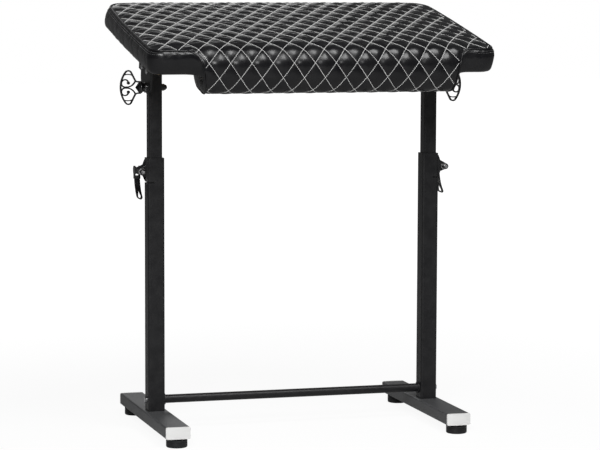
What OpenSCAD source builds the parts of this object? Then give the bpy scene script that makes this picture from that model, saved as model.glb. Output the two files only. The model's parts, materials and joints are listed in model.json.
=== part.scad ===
// Arm rest stand: a quilted pad that tilts on two telescoping square posts.
// Origin on the floor under the middle of the stand, +Z up, front towards -Y.

/* [Stand] */
// Distance of each post's axis from the side of the pad
post_inset = 62; // [50:1:110]
// Height of the tilt axis above the top of the lower posts
extension = 131; // [60:1:180]
// Forward tilt of the pad in degrees
pad_tilt = 11; // [0:0.5:25]

/* [Foot beams] */
// Width of a foot beam
beam_w = 46; // [40:1:60]
// Height of a foot beam
beam_h = 22; // [18:1:30]
// Wall of a foot beam
beam_wall = 2; // [1.5:0.5:3]
// Beam length in front of the front foot's axis
beam_toe = 10; // [9:1:40]
// Beam length behind the rear foot's axis
beam_heel = 26; // [9:1:60]
// Thickness of an end cap at its edge
cap_edge = 3; // [2:0.5:5]
// How far the face of an end cap bows out
cap_bow = 2.2; // [1:0.1:4]
// Length of the hollow tongue of an end cap
cap_tongue = 16; // [10:1:25]

/* [Levelling feet] */
// Distance of each levelling foot from the post axis
glide_reach = 175; // [130:1:220]
// Diameter of the foot pad
glide_d = 39; // [30:1:44]
// Height of the foot beam above the floor
beam_lift = 16; // [12:1:22]
// Diameter of the foot's stud
stud_d = 8; // [6:1:10]

/* [Posts] */
// Outer size of the square lower post
lower_size = 32; // [30:1:38]
// Wall of the lower post
lower_wall = 2; // [1.5:0.1:2.5]
// Length of the lower post
lower_len = 477; // [380:1:560]
// Outer size of the square upper post
upper_size = 25; // [22:1:25.5]
// Wall of the upper post
upper_wall = 1.5; // [1:0.1:2.5]
// Length of the upper post
upper_len = 460; // [380:1:500]

/* [Cross bar] */
// Diameter of the cross bar
bar_d = 16; // [12:1:20]
// Wall of the cross bar
bar_wall = 1.5; // [1:0.1:2.5]
// Height of the cross bar's axis above the foot beams
bar_rise = 20.5; // [16:0.5:60]

/* [Clamps] */
// Distance of the clamp bolt below the top of the lower post
clamp_drop = 25; // [20:1:30]
// Distance of the clamp bolt from the post's outer face
clamp_reach = 11.4; // [10:0.2:14]
// Thickness of a clamp ear
ear_t = 4; // [3:0.5:5]
// Radius of the rounded end of an ear
ear_r = 6.5; // [5.5:0.5:8]
// Distance of the relief slot below the top of the lower post
relief_drop = 47; // [42:1:60]
// Width of the relief slot and of the slit above it
relief_w = 2; // [1.5:0.5:4]
// Diameter of the clamp bolt
clamp_bolt_d = 6; // [5:0.5:7]
// Bending radius of the cam lever's blade
lever_r = 54; // [40:1:60]
// Width of the cam lever
lever_w = 10.5; // [9:0.5:12]

/* [Tilt handles] */
// Distance of the handle's outer edge from the post axis
handle_reach = 65.4; // [60:0.2:75]
// Height of the handle
handle_h = 65; // [60:1:75]
// Width of the scroll bars of the handle
scroll_w = 2.8; // [2.2:0.1:3.4]
// Thickness of the handle's casting
scroll_t = 5; // [4:0.5:7]
// Diameter of the tilt bolt
tilt_bolt_d = 8; // [6:1:10]

/* [Pad] */
// Width of the pad
pad_w = 664; // [560:1:760]
// Depth of the pad in front of the tilt axis
pad_front = 203; // [170:1:240]
// Depth of the pad behind the tilt axis
pad_rear = 219; // [170:1:250]
// Height of the pad's top seam above the tilt axis
seam_rise = 114; // [100:1:130]
// Height of the pad's side walls
wall_h = 44.5; // [36:0.5:60]
// How far the front roll hangs below the side walls
drop_h = 39; // [20:1:60]
// Depth of the front roll from front to back
drop_depth = 112; // [90:1:150]
// Thickness of the plywood board
board_t = 12; // [9:1:15]
// Crown of the pad's top above its seam
crown_h = 9; // [4:0.5:14]
// Height of the padding in the middle of a quilted diamond
puff_h = 3.5; // [1:0.5:5]

/* [Brackets] */
// Width of the pivot plates and angles
plate_w = 94; // [80:1:100]
// Thickness of the pivot plates and angles
plate_t = 3; // [2.5:0.5:4]
// Length of the angle's flange under the board
flange_l = 32; // [28:1:36]

/* [Hidden] */
$fn = 64;

// Clearances and overruns
overrun = 1;
fit_gap = 0.1;
slide_gap = 0.1;
run_gap = 0.08;
face_gap = 0.1;
bolt_gap = 0.3;

// Heights
post_foot = beam_lift + beam_h;
sleeve_top = post_foot + lower_len;
tilt_z = sleeve_top + extension;
post_x = pad_w / 2 - post_inset;
beam_front = glide_reach + beam_toe;
beam_rear = glide_reach + beam_heel;

// Foot beams and their caps
beam_corner = 3;
cap_wall = 1.6;
cap_split = 20;
glide_gap = 0.3;
glide_edge = 2.5;
glide_groove = 0.8;
glide_groove_z = 9.5;
glide_groove_w = 1.2;
glide_neck_d = 20;
glide_neck_h = 2;
foot_nut_d = 14.5;
foot_nut_h = 6.5;
stud_top_gap = 2;

// Posts
lower_corner = 4;
upper_corner = 2.5;
lower_inner = lower_size - 2 * lower_wall;
upper_inner = upper_size - 2 * upper_wall;
top_margin = 30;
upper_top = tilt_z + top_margin;
upper_foot = upper_top - upper_len;
sleeve_len = 40;
sleeve_slit = 3;
shoe_h = 14;
shoe_tongue = 18;
plug_rim = 2.5;
plug_tongue = 12;
plug_wall = 2;

// Cross bar
bar_z = post_foot + bar_rise;
ring_rim = 2.5;
ring_d = bar_d + 2 * ring_rim;
ring_t = 3;
bar_plug_l = 24;
bar_bolt_d = 6;
bar_bolt_bite = 14;
bar_head_d = 12;
bar_head_h = 4;

// Clamp, measured outwards from the post axis
clamp_z = sleeve_top - clamp_drop;
clamp_x = lower_size / 2 + clamp_reach;
ear_face = lower_size / 2;
ear_root = lower_size / 2 - lower_wall;
ear_top = sleeve_top - 2 * lower_wall;
relief_z = sleeve_top - relief_drop;
ear_foot = relief_z + 2 * relief_w;
relief_wrap = 12;
ear_waist = 3.5;
ear_waist_share = 0.55;
clamp_washer_d = 13;
clamp_washer_t = 1.5;
clamp_nut_d = 11.4;
clamp_nut_h = 9;
bolt_tip = 0.8;
cam_r = 8.5;
cam_rise = 0.8;
cam_w = 12;
cam_gap = 0.25;
cam_pin_d = 8;
seat_d = 14;
seat_t = 4;
seat_dish = 2;
pin_y = ear_face + seat_t - seat_dish + cam_gap + cam_rise + cam_r;
cam_neck = 16;
cam_neck_t = 8;
cam_slot = 6.6;
cam_slot_floor = 10;
lever_t = 4;
lever_start = 5;
lever_sweep = 62;
lever_hole_d = 5.6;
lever_hole_l = 13;
lever_rim = 2.4;

// Tilt joint, measured outwards from the post axis
friction_t = 1.5;
friction_d = 26;
plate_in = upper_size / 2 + friction_t;
plate_out = plate_in + plate_t;
steel_t = 1.6;
steel_d = 20;
hub_in = plate_out + steel_t + face_gap;
hub_r = 8.2;
hub_base_l = 3.6;
hub_bead_r = 3.2;
hub_bead_l = 7;
hub_bead_u = hub_in + hub_bead_l;
hub_neck_r = 9.2;
hub_l = 11;
hub_end = hub_in + hub_l;
hub_point_h = 6.6;
hub_tip = hub_end + hub_point_h;
cap_nut_d = 13;
cap_nut_h = 6.5;
cap_dome_r = 5.4;
spacer_d = 13;

// Scrolls of the handle, in its own plane: outwards and up from the tilt axis
back_r = 47;
back_u = handle_reach - scroll_w / 2 - back_r;
lobe_r = 6.2;
lobe_v = handle_h / 2 - scroll_w / 2 - lobe_r;
lobe_angle = asin(lobe_v / (back_r - lobe_r));
lobe_u = back_u + (back_r - lobe_r) * cos(lobe_angle);
side_angle = 153;
throat_r = 6;
throat_v = 10.6;
side_u = lobe_u + lobe_r * cos(side_angle);
side_v = lobe_v + lobe_r * sin(side_angle);
side_l = (side_v - throat_v - throat_r * (1 - sin(side_angle))) / sin(side_angle - 90);
turn_u = side_u + side_l * cos(side_angle + 90) + throat_r * cos(side_angle);
curl_w = 2.5;
curl_r = 6.9;
curl_end_r = 6.4;
curl_u = handle_reach - scroll_w - curl_r - curl_w / 2 + 0.4 * scroll_w;
curl_v = 0.9;
eye_r = 2.8;
feed_r = 18;
feed_l = 3;
feed_angle = 67;
lens_r = 20.5;
lens_shift = 1.2;
lens_sink = 0.5;
lens_u = lobe_u + lens_shift;
lens_v = lobe_v - lens_r - lens_sink;
lens_w = 2;
lens_from = 70;
lens_to = 115;
scroll_step = 6;

// Pad, in its own frame: across, front to back and up from the tilt axis
pad_floor = seam_rise - wall_h;
drop_floor = pad_floor - drop_h;
wrap_t = 12;
pad_cols = 33;
pad_rows = 13;
quilt_step = pad_w / 33.8;
quilt_shift = pad_w / 221;
pad_corner = 26;
pad_bow = 3;
seam_in = 7;
bulge_drop = 15;
drop_left = 0.357 * pad_w;
drop_right = 0.382 * pad_w;
drop_first = 5;
drop_last = 29;
wall_tuck = 5;
hem_h = 4;
crown_share = 5;
side_share = 8;
drop_end_round = 6;
drop_taper = 9;

// Outline of the front roll: shares of its depth behind the front seam and of its height
drop_shares = [
    [0.41, 0.85], [-0.03, 1.02], [-0.116, 0.71], [-0.125, 0.377], [-0.036, 0.09],
    [0.107, 0], [0.545, 0], [0.786, 0.12], [0.893, 0.4], [0.91, 0.62]
];
quilted_from = 1;
quilted_to = 4;

// Brackets
plate_foot = 9;
plate_corner = 26;
plate_top_gap = 4;
plate_taper = 5;
angle_foot = 26;
angle_bend = 3;
screw_span = 38;
screw_rise = 35;
screw_d = 6;
screw_head_d = 10.5;
screw_head_h = 3.3;
screw_rim = 0.9;
wood_screw_d = 4;
wood_screw_l = 9;
wood_head_d = 8;
wood_head_h = 2.4;
wood_inset = 6;
wood_span_x = 12;
wood_span_y = 70;

// Middle of the whole stand from front to back, so that it stands centred on the origin
front_reach = -min([for (s = drop_shares)
    turned_y(seam_in - pad_front + s[0] * drop_depth - puff_h, drop_floor + s[1] * (seam_rise - drop_floor))]);
rear_reach = beam_rear + cap_edge + cap_bow;
stand_y = (front_reach - rear_reach) / 2;

function turned_y(v, w) = v * cos(pad_tilt) - w * sin(pad_tilt);

// Places children at a post, with +X pointing outwards on both sides
module at_post(side) {
    translate([side * post_x, stand_y, 0])
        mirror([side < 0 ? 1 : 0, 0, 0])
            children();
}

// Places children on the tilt axis of a post, outwards along +X
module at_tilt(side) {
    translate([side * post_x, stand_y, tilt_z])
        rotate([0, 0, side < 0 ? 180 : 0])
            children();
}

// Places children in the frame of the pad
module in_pad() {
    translate([0, stand_y, tilt_z])
        rotate([pad_tilt, 0, 0])
            children();
}

// Cylinder along +X
module rod_x(d, from, to, sides = $fn) {
    translate([from, 0, 0])
        rotate([0, 90, 0])
            cylinder(d = d, h = to - from, $fn = sides);
}

// Cylinder along +Y
module rod_y(d, from, to, sides = $fn) {
    translate([0, to, 0])
        rotate([90, 0, 0])
            cylinder(d = d, h = to - from, $fn = sides);
}

module rounded_rect(x, y, r) {
    square([x - 2 * r, y], center = true);
    square([x, y - 2 * r], center = true);
    for (sx = [-1, 1], sy = [-1, 1])
        translate([sx * (x / 2 - r), sy * (y / 2 - r)])
            circle(r = r);
}

module box_tube(x, y, wall, corner, length) {
    linear_extrude(length)
        difference() {
            rounded_rect(x, y, corner);
            rounded_rect(x - 2 * wall, y - 2 * wall, corner - wall / 2);
        }
}

module foot_beam(side) {
    color("dimgray")
        at_post(side)
            difference() {
                translate([0, beam_rear, beam_lift + beam_h / 2])
                    rotate([90, 0, 0])
                        box_tube(beam_w, beam_h, beam_wall, beam_corner, beam_front + beam_rear);
                for (end = [-1, 1])
                    translate([0, end * glide_reach, beam_lift - overrun])
                        cylinder(d = stud_d + 2 * bolt_gap, h = beam_wall + 2 * overrun);
            }
}

// Bowed end cap: a face plate and a split tongue that passes both sides of the foot's nut
module end_cap(side, end) {
    face_y = end < 0 ? beam_front : beam_rear;
    bow_r = (beam_w * beam_w / 4 + cap_bow * cap_bow) / (2 * cap_bow);
    tongue_x = beam_w - 2 * beam_wall - 2 * fit_gap;
    tongue_z = beam_h - 2 * beam_wall - 2 * fit_gap;
    color("gainsboro")
        at_post(side)
            translate([0, end * face_y, beam_lift + beam_h / 2])
                rotate([0, 0, end < 0 ? 180 : 0]) {
                    intersection() {
                        translate([0, cap_edge + cap_bow, 0])
                            rotate([90, 0, 0])
                                linear_extrude(cap_edge + cap_bow)
                                    rounded_rect(beam_w, beam_h, beam_corner);
                        translate([0, cap_edge + cap_bow - bow_r, -beam_h])
                            cylinder(r = bow_r, h = 2 * beam_h, $fn = 128);
                    }
                    difference() {
                        rotate([90, 0, 0])
                            box_tube(tongue_x, tongue_z, cap_wall, beam_corner - cap_wall / 2, cap_tongue);
                        translate([-cap_split / 2, -cap_tongue - overrun, -beam_h])
                            cube([cap_split, cap_tongue + overrun, 2 * beam_h]);
                    }
                }
}

module foot_nuts() {
    color("silver")
        for (side = [-1, 1], end = [-1, 1])
            at_post(side)
                translate([0, end * glide_reach, beam_lift + beam_wall])
                    difference() {
                        cylinder(d = foot_nut_d, h = foot_nut_h, $fn = 6);
                        translate([0, 0, -overrun])
                            cylinder(d = stud_d + 2 * run_gap, h = foot_nut_h + 2 * overrun);
                    }
}

// Round plastic foot pad, with its flat sole on the floor
module glide(side, end) {
    rim_r = glide_d / 2;
    top_z = beam_lift - glide_gap;
    body_z = top_z - glide_neck_h;
    color("black")
        at_post(side)
            translate([0, end * glide_reach, 0])
                rotate_extrude()
                    difference() {
                        union() {
                            square([rim_r - glide_edge, glide_edge]);
                            translate([rim_r - glide_edge, glide_edge])
                                circle(r = glide_edge);
                            translate([0, glide_edge])
                                square([rim_r, body_z - glide_edge]);
                            square([glide_neck_d / 2, top_z]);
                        }
                        translate([-rim_r, -overrun])
                            square([rim_r, top_z + 2 * overrun]);
                        translate([rim_r - glide_groove, glide_groove_z])
                            square([glide_groove + overrun, glide_groove_w]);
                        translate([-overrun, glide_edge])
                            square([stud_d / 2 + overrun, top_z]);
                    }
}

// Threaded stud of a foot, fixed in its pad and screwed into the beam's nut
module glide_stud(side, end) {
    stud_top = beam_lift + beam_h - beam_wall - stud_top_gap;
    color("silver")
        at_post(side)
            translate([0, end * glide_reach, glide_edge])
                cylinder(d = stud_d, h = stud_top - glide_edge);
}

// Point where the tangent from p touches the circle of radius r at c
function tangent_point(p, c, r, turn) =
    let (d = norm(p - c), a = atan2(p[1] - c[1], p[0] - c[0]) + turn * acos(r / d))
        c + r * [cos(a), sin(a)];

// Clamp ear: a gusset from the post to a rounded eye
module clamp_ear() {
    eye = [clamp_x, clamp_z];
    top_root = [ear_root, ear_top];
    foot_root = [ear_root, ear_foot];
    waist_x = ear_face + ear_waist;
    top_neck = [waist_x, clamp_z + (ear_top - clamp_z) * ear_waist_share];
    foot_neck = [waist_x, clamp_z + (ear_foot - clamp_z) * ear_waist_share];
    rotate([90, 0, 0])
        linear_extrude(ear_t)
            difference() {
                union() {
                    polygon([
                        top_root, [ear_face, ear_top], top_neck, tangent_point(top_neck, eye, ear_r, -1),
                        eye, tangent_point(foot_neck, eye, ear_r, 1), foot_neck, [ear_face, ear_foot],
                        foot_root
                    ]);
                    translate(eye)
                        circle(r = ear_r);
                }
                translate(eye)
                    circle(d = clamp_bolt_d + 2 * bolt_gap);
            }
}

// Lower post with its top slit open between two clamp ears
module lower_post(side) {
    color("dimgray")
        at_post(side)
            difference() {
                union() {
                    translate([0, 0, post_foot])
                        box_tube(lower_size, lower_size, lower_wall, lower_corner, lower_len);
                    translate([0, ear_t - ear_face, 0])
                        clamp_ear();
                    translate([0, ear_face, 0])
                        clamp_ear();
                }
                translate([lower_size / 2 - relief_wrap, -lower_size, relief_z])
                    cube([lower_size, 2 * lower_size, relief_w]);
                translate([upper_size / 2, -sleeve_slit / 2, relief_z])
                    cube([lower_wall + lower_size / 4, sleeve_slit, relief_drop + overrun]);
                translate([0, 0, bar_z])
                    rod_x(bar_bolt_d + 2 * bolt_gap, -lower_size, lower_size);
            }
}

// Split plastic sleeve that guides the upper post inside the lower one
module guide_sleeve(side) {
    outer = lower_inner - 2 * fit_gap;
    inner = upper_size + 2 * slide_gap;
    color("black")
        at_post(side)
            translate([0, 0, sleeve_top - sleeve_len])
                difference() {
                    linear_extrude(sleeve_len)
                        difference() {
                            rounded_rect(outer, outer, lower_corner - lower_wall / 2);
                            rounded_rect(inner, inner, upper_corner);
                        }
                    translate([0, -sleeve_slit / 2, -overrun])
                        cube([lower_size, sleeve_slit, sleeve_len + 2 * overrun]);
                }
}

module cross_bar() {
    half = post_x - lower_size / 2;
    color("black")
        translate([0, stand_y, bar_z])
            difference() {
                rod_x(bar_d, -half, half);
                rod_x(bar_d - 2 * bar_wall, -half - overrun, half + overrun);
            }
}

module cross_bar_plugs() {
    color("silver")
        for (side = [-1, 1])
            at_post(side)
                translate([-lower_size / 2, 0, bar_z])
                    difference() {
                        rod_x(bar_d - 2 * bar_wall, -bar_plug_l, 0);
                        rod_x(bar_bolt_d, -bar_bolt_bite - overrun, overrun);
                    }
}

module cross_bar_rings() {
    color("black")
        for (side = [-1, 1])
            at_post(side)
                translate([-lower_size / 2, 0, bar_z])
                    difference() {
                        rod_x(ring_d, -ring_t, 0);
                        rod_x(bar_d + 2 * fit_gap, -ring_t - overrun, overrun);
                    }
}

// Bolts through the posts into the ends of the cross bar
module cross_bar_bolts() {
    color("silver")
        for (side = [-1, 1])
            at_post(side)
                translate([0, 0, bar_z]) {
                    rod_x(bar_bolt_d, -lower_size / 2 - bar_bolt_bite, lower_size / 2);
                    rod_x(bar_head_d, lower_size / 2, lower_size / 2 + bar_head_h / 2);
                    rod_x(bar_head_d, lower_size / 2 + bar_head_h / 2, lower_size / 2 + bar_head_h, 6);
                }
}

// Clamp bolt from the nut in front to the cam's cross pin behind
module clamp_bolt(side) {
    front = ear_face + clamp_washer_t + clamp_nut_h + bolt_tip;
    color("silver")
        at_post(side)
            translate([clamp_x, 0, clamp_z])
                rod_y(clamp_bolt_d, -front, pin_y);
}

module clamp_washers() {
    color("silver")
        for (side = [-1, 1])
            at_post(side)
                translate([clamp_x, 0, clamp_z])
                    difference() {
                        rod_y(clamp_washer_d, -ear_face - clamp_washer_t, -ear_face);
                        rod_y(clamp_bolt_d + 2 * fit_gap, -ear_face - lower_size, 0);
                    }
}

// Round clamp nuts with a domed face
module clamp_nuts() {
    near = ear_face + clamp_washer_t;
    dome_r = clamp_nut_d * 0.75;
    color("black")
        for (side = [-1, 1])
            at_post(side)
                translate([clamp_x, 0, clamp_z])
                    difference() {
                        intersection() {
                            rod_y(clamp_nut_d, -near - clamp_nut_h, -near);
                            translate([0, dome_r - near - clamp_nut_h, 0])
                                sphere(r = dome_r);
                        }
                        rod_y(clamp_bolt_d, -near - clamp_nut_h - overrun, overrun - near);
                    }
}

// Dished seats between the rear ears and the cams
module cam_seats() {
    color("black")
        for (side = [-1, 1])
            at_post(side)
                translate([clamp_x, 0, clamp_z])
                    difference() {
                        rod_y(seat_d, ear_face, ear_face + seat_t);
                        rod_y(clamp_bolt_d + 2 * fit_gap, 0, pin_y);
                        translate([0, pin_y, 0])
                            rod_x(2 * (cam_r + cam_rise + cam_gap), -cam_w, cam_w);
                    }
}

module cam_pins() {
    color("silver")
        for (side = [-1, 1])
            at_post(side)
                translate([clamp_x, pin_y, clamp_z])
                    difference() {
                        rod_x(cam_pin_d, -cam_w / 2, cam_w / 2);
                        rod_y(clamp_bolt_d, -cam_pin_d, cam_pin_d);
                    }
}

// Quick-release lever: a forked eccentric cam and a blade that curves in under the ear
module cam_lever(side) {
    blade_end = [lever_start + lever_r * sin(lever_sweep), lever_r * (1 - cos(lever_sweep))];
    hole_z = -blade_end[0] + lever_rim + lever_hole_d / 2;
    color("black")
        at_post(side)
            translate([clamp_x, pin_y, clamp_z])
                difference() {
                    union() {
                        translate([0, -cam_rise, 0])
                            rod_x(2 * cam_r, -cam_w / 2, cam_w / 2);
                        translate([-cam_w / 2, -cam_neck_t / 2, -cam_neck])
                            cube([cam_w, cam_neck_t, cam_neck]);
                        intersection() {
                            translate([-lever_w / 2, -lever_r, -lever_start])
                                rotate([0, 90, 0])
                                    rotate_extrude(angle = 90, start = 0)
                                        translate([lever_r - lever_t / 2, 0])
                                            square([lever_t, lever_w]);
                            translate([0, lever_r, 0])
                                rotate([90, 0, 0])
                                    linear_extrude(3 * lever_r)
                                        lever_face(-blade_end[0], hole_z);
                        }
                    }
                    translate([-cam_slot / 2, -lever_r, -cam_slot_floor])
                        cube([cam_slot, 2 * lever_r, lever_r]);
                    rod_x(cam_pin_d + 2 * run_gap, -cam_w, cam_w);
                }
}

// Front outline of the lever's blade, with its drop-shaped hole
module lever_face(end_z, hole_z) {
    half = lever_w / 2;
    difference() {
        union() {
            translate([-half, end_z + half])
                square([lever_w, -end_z - half]);
            translate([0, end_z + half])
                circle(r = half);
        }
        translate([0, hole_z])
            circle(d = lever_hole_d);
        polygon([
            [-lever_hole_d / 2, hole_z], [lever_hole_d / 2, hole_z],
            [0, hole_z + lever_hole_l - lever_hole_d / 2]
        ]);
    }
}

// Upper post, drilled for the tilt bolt
module upper_post(side) {
    color("black")
        at_post(side)
            difference() {
                translate([0, 0, upper_foot])
                    box_tube(upper_size, upper_size, upper_wall, upper_corner, upper_len);
                translate([0, 0, tilt_z])
                    rod_x(tilt_bolt_d + 2 * fit_gap, -upper_size, upper_size);
            }
}

module post_plug(side) {
    tongue = upper_inner - 2 * fit_gap;
    color("black")
        at_post(side)
            translate([0, 0, upper_top]) {
                linear_extrude(plug_rim)
                    rounded_rect(upper_size, upper_size, upper_corner);
                translate([0, 0, -plug_tongue])
                    box_tube(tongue, tongue, plug_wall, upper_corner - upper_wall / 2, plug_tongue);
            }
}

// Plastic shoe at the foot of the upper post, sliding in the lower post
module slide_shoe(side) {
    outer = lower_inner - 2 * slide_gap;
    tongue = upper_inner - 2 * fit_gap;
    color("black")
        at_post(side)
            translate([0, 0, upper_foot]) {
                translate([0, 0, -shoe_h])
                    box_tube(outer, outer, plug_wall + upper_wall, lower_corner - lower_wall / 2, shoe_h);
                box_tube(tongue, tongue, plug_wall, upper_corner - upper_wall / 2, shoe_tongue);
            }
}

module tilt_bolt(side) {
    color("silver")
        at_tilt(side)
            rod_x(tilt_bolt_d, -upper_size / 2 - cap_nut_h, hub_end - hub_bead_r - fit_gap);
}

module spacer_tube(side) {
    half = upper_inner / 2;
    color("silver")
        at_tilt(side)
            difference() {
                rod_x(spacer_d, -half, half);
                rod_x(tilt_bolt_d + 2 * fit_gap, -half - overrun, half + overrun);
            }
}

// Cap nut on the inner end of the tilt bolt
module cap_nut(side) {
    face = -upper_size / 2;
    color("black")
        at_tilt(side)
            difference() {
                union() {
                    rod_x(cap_nut_d, face - cap_nut_h, face, 6);
                    translate([face - cap_nut_h, 0, 0])
                        sphere(r = cap_dome_r);
                }
                rod_x(tilt_bolt_d, face - cap_nut_h, face + overrun);
                rod_x(cap_nut_d, face, face + cap_nut_d);
            }
}

module friction_washer(side) {
    color("white")
        at_tilt(side)
            difference() {
                rod_x(friction_d, upper_size / 2, plate_in - face_gap);
                rod_x(tilt_bolt_d + 2 * fit_gap, 0, plate_out);
            }
}

module steel_washer(side) {
    color("silver")
        at_tilt(side)
            difference() {
                rod_x(steel_d, plate_out + face_gap, plate_out + steel_t + face_gap / 2);
                rod_x(tilt_bolt_d + 2 * fit_gap, 0, hub_end);
            }
}

// One edge of a scroll: arcs of [u, v, radius, from, to, turn], joined by straight runs
function scroll_edge(arcs, offset) =
    [for (arc = arcs)
        let (steps = ceil(abs(arc[4] - arc[3]) / scroll_step), r = arc[2] - arc[5] * offset)
            for (k = [0 : steps])
                let (a = arc[3] + (steps == 0 ? 0 : (arc[4] - arc[3]) * k / steps))
                    [arc[0] + r * cos(a), arc[1] + r * sin(a)]];

// Bar of even width that follows a row of arcs
module scroll_bar(arcs, width) {
    left = scroll_edge(arcs, width / 2);
    right = scroll_edge(arcs, -width / 2);
    translate([0, 0, -scroll_t / 2])
        linear_extrude(scroll_t)
            polygon([each left, for (k = [len(right) - 1 : -1 : 0]) right[k]]);
}

// Outer loop of the handle, from the hub round the back and down to the hub again
module scroll_loop() {
    turn_v = throat_v + throat_r;
    scroll_bar([
        [hub_bead_u, turn_v, throat_r, -90, -90, 1], [turn_u, turn_v, throat_r, -90, side_angle - 180, 1],
        [lobe_u, lobe_v, lobe_r, side_angle, lobe_angle, -1],
        [back_u, 0, back_r, lobe_angle, -lobe_angle, -1],
        [lobe_u, -lobe_v, lobe_r, -lobe_angle, -side_angle, -1],
        [turn_u, -turn_v, throat_r, 180 - side_angle, 90, 1], [hub_bead_u, -turn_v, throat_r, 90, 90, 1]
    ], scroll_w);
}

// Curl inside the upper half of the loop, with the lens above it
module scroll_curl() {
    curl_top = curl_v + 2 * curl_r;
    scroll_bar([
        [curl_u - feed_l, curl_v + feed_r, feed_r, -90 - feed_angle, -90, 1],
        [curl_u, curl_v + curl_r, curl_r, -90, 90, 1],
        [curl_u, curl_top - curl_end_r, curl_end_r, 90, 180, 1]
    ], curl_w);
    translate([curl_u - curl_end_r, curl_top - curl_end_r, -scroll_t / 2])
        cylinder(r = eye_r, h = scroll_t);
    scroll_bar([[lens_u, lens_v, lens_r, lens_from, lens_to, 1]], lens_w);
}

// Cast tilt handle: a turned hub with a fan of scrolls
module tilt_handle(side) {
    color("black")
        at_tilt(side)
            difference() {
                union() {
                    rotate([0, 90, 0])
                        rotate_extrude()
                            difference() {
                                union() {
                                    polygon([
                                        [0, hub_in], [hub_r, hub_in], [hub_r, hub_in + hub_base_l],
                                        [hub_neck_r, hub_bead_u], [hub_neck_r, hub_end], [0, hub_tip]
                                    ]);
                                    translate([hub_r - hub_bead_r / 8, hub_bead_u])
                                        circle(r = hub_bead_r);
                                }
                                translate([-hub_tip, 0])
                                    square([hub_tip, 2 * hub_tip]);
                            }
                    rotate([90, 0, 0]) {
                        scroll_loop();
                        scroll_curl();
                        mirror([0, 1, 0])
                            scroll_curl();
                    }
                }
                rod_x(tilt_bolt_d + 2 * run_gap, 0, hub_end - hub_bead_r);
            }
}

// Lines of the quilting across the pad: the outer ones run along its edges
function quilt_x(i) = (i - pad_cols / 2) * quilt_step + quilt_shift;
function col_x(i) = i == 0 ? -pad_w / 2 : i == pad_cols ? pad_w / 2 : quilt_x(i);
function row_v(j) =
    j == 0 ? -pad_front
    : j == pad_rows ? pad_rear
    : seam_in - pad_front + (pad_front + pad_rear - 2 * seam_in) * j / pad_rows;

// Pulls a point of the grid in to the pad's bowed sides and rounded corners
function fall(share, power) = 1 - pow(abs(share), power);
function pad_plan(i, j, inset) =
    let (
        middle = (pad_rear - pad_front) / 2,
        half_v = (pad_front + pad_rear) / 2 - inset,
        v = min(max(row_v(j) - middle, -half_v), half_v),
        half_x = pad_w / 2 - inset - pad_bow * pow(v / half_v, 2),
        x = min(max(col_x(i), -half_x), half_x),
        round_r = pad_corner - inset,
        centre = [sign(x) * (half_x - round_r), sign(v) * (half_v - round_r)],
        out = [x, v] - centre,
        cornered = abs(x) > abs(centre[0]) && abs(v) > abs(centre[1]) && norm(out) > round_r,
        place = cornered ? centre + out * round_r / norm(out) : [x, v]
    )
        [place[0], place[1] + middle];
function is_edge(i, j) = i == 0 || i == pad_cols || j == 0 || j == pad_rows;
function pad_top(i, j) =
    seam_rise + crown_h * fall(2 * j / pad_rows - 1, crown_share) * fall(2 * i / pad_cols - 1, side_share)
        + (is_edge(i, j) || (i + j) % 2 == 0 ? 0 : puff_h);
function pad_rim(k) =
    k < pad_cols ? [k, 0]
    : k < pad_cols + pad_rows ? [pad_cols, k - pad_cols]
    : k < 2 * pad_cols + pad_rows ? [2 * pad_cols + pad_rows - k, pad_rows]
    : [0, 2 * (pad_cols + pad_rows) - k];

// Box of the pad with its crowned, quilted top and drawn-in walls
module pad_box() {
    rim = 2 * (pad_cols + pad_rows);
    across = pad_cols + 1;
    grid = across * (pad_rows + 1);
    top = [for (j = [0 : pad_rows], i = [0 : pad_cols]) [each pad_plan(i, j, seam_in), pad_top(i, j)]];
    walls = [
        [seam_in / 4, seam_rise - bulge_drop / 3], [0, seam_rise - bulge_drop],
        [wall_tuck, pad_floor + hem_h], [wall_tuck + hem_h, pad_floor]
    ];
    rings = [for (ring = walls, k = [0 : rim - 1]) [each pad_plan(pad_rim(k)[0], pad_rim(k)[1], ring[0]), ring[1]]];
    quilt = [for (j = [0 : pad_rows - 1], i = [0 : pad_cols - 1])
        let (a = j * across + i, b = a + 1, d = a + across, c = d + 1)
            each ((i + j) % 2 == 0 ? [[a, d, c], [a, c, b]] : [[a, d, b], [b, d, c]])];
    seam = [for (k = [0 : rim - 1]) pad_rim(k)[1] * across + pad_rim(k)[0]];
    loops = [seam, for (ring = [0 : len(walls) - 1]) [for (k = [0 : rim - 1]) grid + ring * rim + k]];
    sides = [for (ring = [0 : len(walls) - 1], k = [0 : rim - 1])
        let (n = (k + 1) % rim, up = loops[ring], low = loops[ring + 1])
            each [[up[k], up[n], low[n]], [up[k], low[n], low[k]]]];
    polyhedron([each top, each rings], [each quilt, each sides, loops[len(walls)]]);
}

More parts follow.
